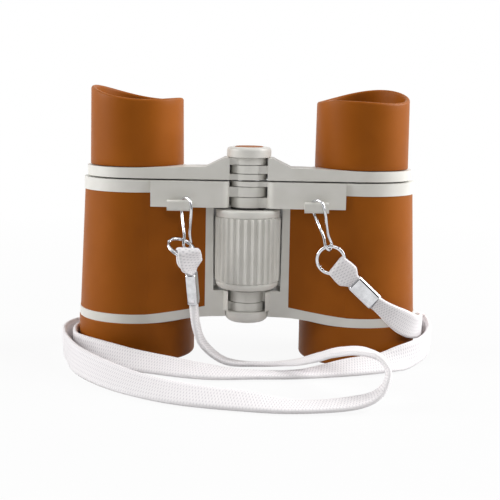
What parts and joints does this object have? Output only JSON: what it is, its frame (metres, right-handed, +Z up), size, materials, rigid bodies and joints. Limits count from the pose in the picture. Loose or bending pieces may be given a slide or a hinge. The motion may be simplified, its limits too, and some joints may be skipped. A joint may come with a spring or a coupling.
{
  "type": "toy binoculars",
  "caption": "Toy binoculars with two armoured barrels on a centre hinge, a fluted focus wheel that lifts the ocular bridge, scooped eyecups and a clipped-on neck strap.",
  "frame": {"origin": "middle of the floor under the object without its strap, which stands upright on its two objective cups", "axes": "+Z up along the barrels towards the eyepieces, +X across the barrels to the right as seen from the wheel side, +Y away from the wheel side"},
  "size_m": [0.1228, 0.0893, 0.0873],
  "materials": {
    "pale_plastic": "satin, warm pale grey",
    "brown_rubber": "matte soft-touch, caramel brown",
    "dark_plastic": "matte, near black",
    "lens_glass": "polished",
    "steel": "plain turned steel",
    "chrome_wire": "bright nickel plate",
    "white_tape": "braided polyester tape"
  },
  "bodies": {
    "left_half": {"left_frame": "pale_plastic", "left_armour": "brown_rubber", "left_objective_cup": "brown_rubber", "left_objective_lens": "lens_glass", "left_lens_ring": "dark_plastic", "upper_hinge_bush": "steel", "lower_hinge_pin": "steel", "upper_washer": "dark_plastic", "lower_washer": "dark_plastic", "bottom_cap": "pale_plastic", "strap": "white_tape"},
    "right_half": {"right_frame": "pale_plastic", "right_armour": "brown_rubber", "right_objective_cup": "brown_rubber", "right_objective_lens": "lens_glass", "right_lens_ring": "dark_plastic"},
    "focus_wheel": {"focus_wheel": "pale_plastic"},
    "left_ocular": {"left_ocular_arm": "pale_plastic", "left_eyepiece_tube": "dark_plastic", "left_eye_lens": "lens_glass", "left_eye_lens_ring": "dark_plastic", "focus_screw": "steel", "top_cap": "pale_plastic", "top_cap_disc": "brown_rubber", "cap_screw": "steel"},
    "right_ocular": {"right_ocular_arm": "pale_plastic", "right_eyepiece_tube": "dark_plastic", "right_eye_lens": "lens_glass", "right_eye_lens_ring": "dark_plastic"},
    "left_eyecup": {"left_eyecup": "brown_rubber"},
    "right_eyecup": {"right_eyecup": "brown_rubber"},
    "left_clip": {"left_hook": "chrome_wire", "left_split_ring": "chrome_wire", "left_strap_loop": "white_tape", "left_ferrule": "chrome_wire"},
    "right_clip": {"right_hook": "chrome_wire", "right_split_ring": "chrome_wire", "right_strap_loop": "white_tape", "right_ferrule": "chrome_wire"}
  },
  "joints": [
    {"name": "barrel_fold", "type": "hinge", "parent": "left_half", "child": "right_half", "pos_m": [0, -0.0097, 0.03], "axis": [0, 0, 1], "range_deg": [0, 50]},
    {"name": "focus_turn", "type": "hinge", "parent": "left_half", "child": "focus_wheel", "pos_m": [0, -0.0097, 0.0366], "axis": [0, 0, 1], "range_deg": [0, 540]},
    {"name": "left_ocular_slide", "type": "slide", "parent": "left_half", "child": "left_ocular", "axis": [0, 0, 1], "range_m": [0, 0.006]},
    {"name": "right_ocular_slide", "type": "slide", "parent": "right_half", "child": "right_ocular", "axis": [0, 0, 1], "range_m": [0, 0.006]},
    {"name": "left_eyecup_turn", "type": "hinge", "parent": "left_ocular", "child": "left_eyecup", "pos_m": [-0.0365, 0.0013, 0.07], "axis": [0, 0, 1], "continuous": true},
    {"name": "right_eyecup_turn", "type": "hinge", "parent": "right_ocular", "child": "right_eyecup", "pos_m": [0.0365, 0.0013, 0.07], "axis": [0, 0, 1], "continuous": true},
    {"name": "left_clip_swing", "type": "hinge", "parent": "left_half", "child": "left_clip", "pos_m": [-0.0213, -0.0188, 0.05085], "axis": [-1, 0, 0], "range_deg": [0, 35]},
    {"name": "right_clip_swing", "type": "hinge", "parent": "right_half", "child": "right_clip", "pos_m": [0.0213, -0.0188, 0.05085], "axis": [-1, 0, 0], "range_deg": [0, 35]}
  ],
  "couplings": [
    {"joint": "left_ocular_slide", "follows": "focus_turn", "m_per_rad": 0.0006366},
    {"joint": "right_ocular_slide", "follows": "focus_turn", "m_per_rad": 0.0006366}
  ]
}
